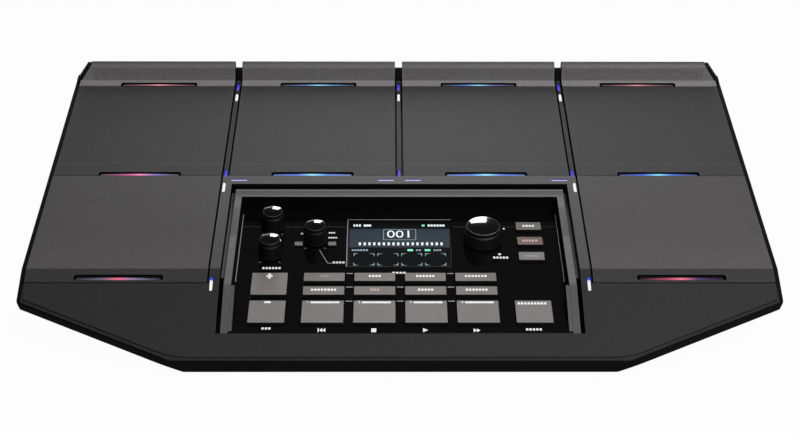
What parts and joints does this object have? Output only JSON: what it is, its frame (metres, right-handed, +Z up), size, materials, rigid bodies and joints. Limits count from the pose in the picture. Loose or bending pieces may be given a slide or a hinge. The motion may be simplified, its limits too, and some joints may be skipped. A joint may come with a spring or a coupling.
{
  "type": "sampling percussion pad",
  "caption": "Wedge-shaped electronic percussion instrument with square rubber pads, raised bar pads, light slots, and a sunken panel with display, knobs and buttons.",
  "frame": {"origin": "middle of the footprint, on the surface that the feet stand on", "axes": "+X to the player's right, +Y to the back with the sockets, +Z up"},
  "size_m": [0.44, 0.286, 0.081],
  "materials": {
    "black_case": "fine matte texture",
    "grey_case": "fine matte texture",
    "pad_rubber": "matte with a fine stipple",
    "foot_rubber": "matte",
    "bezel_plastic": "satin",
    "fascia_gloss": "high gloss",
    "window_clear": "glossy",
    "module_grey": "satin",
    "board_green": "satin solder mask",
    "switch_black": "matte",
    "key_grey": "translucent silicone, matte",
    "knob_black": "satin skirt, glossy cap",
    "shaft_steel": "plain",
    "rotor_plastic": "plain",
    "insert_brass": "plain",
    "guide_acrylic": "frosted, lit from below",
    "socket_steel": "plated",
    "power_black": "matte"
  },
  "bodies": {
    "case": {"bottom_case": "black_case", "top_case": "grey_case", "rubber_feet": "foot_rubber", "case_screws": "shaft_steel", "mount_inserts": "insert_brass", "panel_bezel": "bezel_plastic", "fascia": "fascia_gloss", "display_window": "window_clear", "display_module": "module_grey", "panel_board": "board_green", "main_board": "board_green", "button_switches": "switch_black", "pot_bodies": "module_grey", "encoder_body": "module_grey", "pad_foam": "foot_rubber", "pad_sensors": "insert_brass", "light_guides": "guide_acrylic", "phone_jacks": "switch_black", "usb_socket": "socket_steel", "dc_inlet": "switch_black"},
    "encoder_turn": {"encoder_rotor": "rotor_plastic"},
    "encoder_cap": {"encoder_knob": "knob_black", "encoder_shaft": "shaft_steel"},
    "volume_control": {"volume_knob": "knob_black", "volume_shaft": "shaft_steel"},
    "phones_control": {"phones_knob": "knob_black", "phones_shaft": "shaft_steel"},
    "level_control": {"level_knob": "knob_black", "level_shaft": "shaft_steel"},
    "bar_pad_1": {"bar_pad_1": "pad_rubber"},
    "bar_pad_2": {"bar_pad_2": "pad_rubber"},
    "bar_pad_3": {"bar_pad_3": "pad_rubber"},
    "bar_pad_4": {"bar_pad_4": "pad_rubber"},
    "upper_pad_1": {"upper_pad_1": "pad_rubber"},
    "upper_pad_2": {"upper_pad_2": "pad_rubber"},
    "upper_pad_3": {"upper_pad_3": "pad_rubber"},
    "upper_pad_4": {"upper_pad_4": "pad_rubber"},
    "lower_pad_left": {"lower_pad_left": "pad_rubber"},
    "lower_pad_right": {"lower_pad_right": "pad_rubber"},
    "plus_button": {"plus_button": "key_grey"},
    "minus_button": {"minus_button": "key_grey"},
    "mute_button": {"mute_button": "key_grey"},
    "mode_button_1": {"mode_button_1": "key_grey"},
    "mode_button_2": {"mode_button_2": "key_grey"},
    "mode_button_3": {"mode_button_3": "key_grey"},
    "mode_button_4": {"mode_button_4": "key_grey"},
    "function_button_1": {"function_button_1": "key_grey"},
    "function_button_2": {"function_button_2": "key_grey"},
    "function_button_3": {"function_button_3": "key_grey"},
    "function_button_4": {"function_button_4": "key_grey"},
    "track_button_1": {"track_button_1": "key_grey"},
    "track_button_2": {"track_button_2": "key_grey"},
    "track_button_3": {"track_button_3": "key_grey"},
    "track_button_4": {"track_button_4": "key_grey"},
    "edit_button": {"edit_button": "key_grey"},
    "write_button": {"write_button": "key_grey"},
    "exit_button": {"exit_button": "key_grey"},
    "page_button_left": {"page_button_left": "key_grey"},
    "page_button_right": {"page_button_right": "key_grey"},
    "power_button": {"power_button": "power_black"}
  },
  "joints": [
    {"name": "encoder_turn", "type": "hinge", "parent": "case", "child": "encoder_turn", "pos_m": [0.0501, -0.03646, 0.03231], "axis": [0, -0.1444, 0.9895], "continuous": true},
    {"name": "encoder_push", "type": "slide", "parent": "encoder_turn", "child": "encoder_cap", "axis": [0, 0.1444, -0.9895], "range_m": [0, 0.0006], "stiffness_N_per_m": 1500, "springref_m": -0.001},
    {"name": "volume_turn", "type": "hinge", "parent": "case", "child": "volume_control", "pos_m": [-0.0772, -0.02211, 0.0344], "axis": [0, -0.1444, 0.9895], "range_deg": [-150, 150]},
    {"name": "phones_turn", "type": "hinge", "parent": "case", "child": "phones_control", "pos_m": [-0.0772, -0.05081, 0.03022], "axis": [0, -0.1444, 0.9895], "range_deg": [-150, 150]},
    {"name": "level_turn", "type": "hinge", "parent": "case", "child": "level_control", "pos_m": [-0.0508, -0.03646, 0.03231], "axis": [0, -0.1444, 0.9895], "range_deg": [-150, 150]},
    {"name": "bar_pad_1_strike", "type": "slide", "parent": "case", "child": "bar_pad_1", "axis": [0, 0.1444, -0.9895], "range_m": [0, 0.0008], "stiffness_N_per_m": 4000, "springref_m": -0.0012, "deforming": ["pad_foam"]},
    {"name": "bar_pad_2_strike", "type": "slide", "parent": "case", "child": "bar_pad_2", "axis": [0, 0.1444, -0.9895], "range_m": [0, 0.0008], "stiffness_N_per_m": 4000, "springref_m": -0.0012, "deforming": ["pad_foam"]},
    {"name": "bar_pad_3_strike", "type": "slide", "parent": "case", "child": "bar_pad_3", "axis": [0, 0.1444, -0.9895], "range_m": [0, 0.0008], "stiffness_N_per_m": 4000, "springref_m": -0.0012, "deforming": ["pad_foam"]},
    {"name": "bar_pad_4_strike", "type": "slide", "parent": "case", "child": "bar_pad_4", "axis": [0, 0.1444, -0.9895], "range_m": [0, 0.0008], "stiffness_N_per_m": 4000, "springref_m": -0.0012, "deforming": ["pad_foam"]},
    {"name": "upper_pad_1_strike", "type": "slide", "parent": "case", "child": "upper_pad_1", "axis": [0, 0.1444, -0.9895], "range_m": [0, 0.0008], "stiffness_N_per_m": 4000, "springref_m": -0.0012, "deforming": ["pad_foam"]},
    {"name": "upper_pad_2_strike", "type": "slide", "parent": "case", "child": "upper_pad_2", "axis": [0, 0.1444, -0.9895], "range_m": [0, 0.0008], "stiffness_N_per_m": 4000, "springref_m": -0.0012, "deforming": ["pad_foam"]},
    {"name": "upper_pad_3_strike", "type": "slide", "parent": "case", "child": "upper_pad_3", "axis": [0, 0.1444, -0.9895], "range_m": [0, 0.0008], "stiffness_N_per_m": 4000, "springref_m": -0.0012, "deforming": ["pad_foam"]},
    {"name": "upper_pad_4_strike", "type": "slide", "parent": "case", "child": "upper_pad_4", "axis": [0, 0.1444, -0.9895], "range_m": [0, 0.0008], "stiffness_N_per_m": 4000, "springref_m": -0.0012, "deforming": ["pad_foam"]},
    {"name": "lower_pad_left_strike", "type": "slide", "parent": "case", "child": "lower_pad_left", "axis": [0, 0.1444, -0.9895], "range_m": [0, 0.0008], "stiffness_N_per_m": 4000, "springref_m": -0.0012, "deforming": ["pad_foam"]},
    {"name": "lower_pad_right_strike", "type": "slide", "parent": "case", "child": "lower_pad_right", "axis": [0, 0.1444, -0.9895], "range_m": [0, 0.0008], "stiffness_N_per_m": 4000, "springref_m": -0.0012, "deforming": ["pad_foam"]},
    {"name": "plus_button_press", "type": "slide", "parent": "case", "child": "plus_button", "axis": [0, 0.1444, -0.9895], "range_m": [0, 0.0008], "stiffness_N_per_m": 600, "springref_m": -0.0012},
    {"name": "minus_button_press", "type": "slide", "parent": "case", "child": "minus_button", "axis": [0, 0.1444, -0.9895], "range_m": [0, 0.0008], "stiffness_N_per_m": 600, "springref_m": -0.0012},
    {"name": "mute_button_press", "type": "slide", "parent": "case", "child": "mute_button", "axis": [0, 0.1444, -0.9895], "range_m": [0, 0.0008], "stiffness_N_per_m": 600, "springref_m": -0.0012},
    {"name": "mode_button_1_press", "type": "slide", "parent": "case", "child": "mode_button_1", "axis": [0, 0.1444, -0.9895], "range_m": [0, 0.0008], "stiffness_N_per_m": 600, "springref_m": -0.0012},
    {"name": "mode_button_2_press", "type": "slide", "parent": "case", "child": "mode_button_2", "axis": [0, 0.1444, -0.9895], "range_m": [0, 0.0008], "stiffness_N_per_m": 600, "springref_m": -0.0012},
    {"name": "mode_button_3_press", "type": "slide", "parent": "case", "child": "mode_button_3", "axis": [0, 0.1444, -0.9895], "range_m": [0, 0.0008], "stiffness_N_per_m": 600, "springref_m": -0.0012},
    {"name": "mode_button_4_press", "type": "slide", "parent": "case", "child": "mode_button_4", "axis": [0, 0.1444, -0.9895], "range_m": [0, 0.0008], "stiffness_N_per_m": 600, "springref_m": -0.0012},
    {"name": "function_button_1_press", "type": "slide", "parent": "case", "child": "function_button_1", "axis": [0, 0.1444, -0.9895], "range_m": [0, 0.0008], "stiffness_N_per_m": 600, "springref_m": -0.0012},
    {"name": "function_button_2_press", "type": "slide", "parent": "case", "child": "function_button_2", "axis": [0, 0.1444, -0.9895], "range_m": [0, 0.0008], "stiffness_N_per_m": 600, "springref_m": -0.0012},
    {"name": "function_button_3_press", "type": "slide", "parent": "case", "child": "function_button_3", "axis": [0, 0.1444, -0.9895], "range_m": [0, 0.0008], "stiffness_N_per_m": 600, "springref_m": -0.0012},
    {"name": "function_button_4_press", "type": "slide", "parent": "case", "child": "function_button_4", "axis": [0, 0.1444, -0.9895], "range_m": [0, 0.0008], "stiffness_N_per_m": 600, "springref_m": -0.0012},
    {"name": "track_button_1_press", "type": "slide", "parent": "case", "child": "track_button_1", "axis": [0, 0.1444, -0.9895], "range_m": [0, 0.0008], "stiffness_N_per_m": 600, "springref_m": -0.0012},
    {"name": "track_button_2_press", "type": "slide", "parent": "case", "child": "track_button_2", "axis": [0, 0.1444, -0.9895], "range_m": [0, 0.0008], "stiffness_N_per_m": 600, "springref_m": -0.0012},
    {"name": "track_button_3_press", "type": "slide", "parent": "case", "child": "track_button_3", "axis": [0, 0.1444, -0.9895], "range_m": [0, 0.0008], "stiffness_N_per_m": 600, "springref_m": -0.0012},
    {"name": "track_button_4_press", "type": "slide", "parent": "case", "child": "track_button_4", "axis": [0, 0.1444, -0.9895], "range_m": [0, 0.0008], "stiffness_N_per_m": 600, "springref_m": -0.0012},
    {"name": "edit_button_press", "type": "slide", "parent": "case", "child": "edit_button", "axis": [0, 0.1444, -0.9895], "range_m": [0, 0.0008], "stiffness_N_per_m": 600, "springref_m": -0.0012},
    {"name": "write_button_press", "type": "slide", "parent": "case", "child": "write_button", "axis": [0, 0.1444, -0.9895], "range_m": [0, 0.0008], "stiffness_N_per_m": 600, "springref_m": -0.0012},
    {"name": "exit_button_press", "type": "slide", "parent": "case", "child": "exit_button", "axis": [0, 0.1444, -0.9895], "range_m": [0, 0.0008], "stiffness_N_per_m": 600, "springref_m": -0.0012},
    {"name": "page_button_left_press", "type": "slide", "parent": "case", "child": "page_button_left", "axis": [0, 0.1444, -0.9895], "range_m": [0, 0.0008], "stiffness_N_per_m": 600, "springref_m": -0.0012},
    {"name": "page_button_right_press", "type": "slide", "parent": "case", "child": "page_button_right", "axis": [0, 0.1444, -0.9895], "range_m": [0, 0.0008], "stiffness_N_per_m": 600, "springref_m": -0.0012},
    {"name": "power_press", "type": "slide", "parent": "case", "child": "power_button", "axis": [0, -1, 0], "range_m": [0, 0.0025], "stiffness_N_per_m": 400, "springref_m": -0.002}
  ]
}
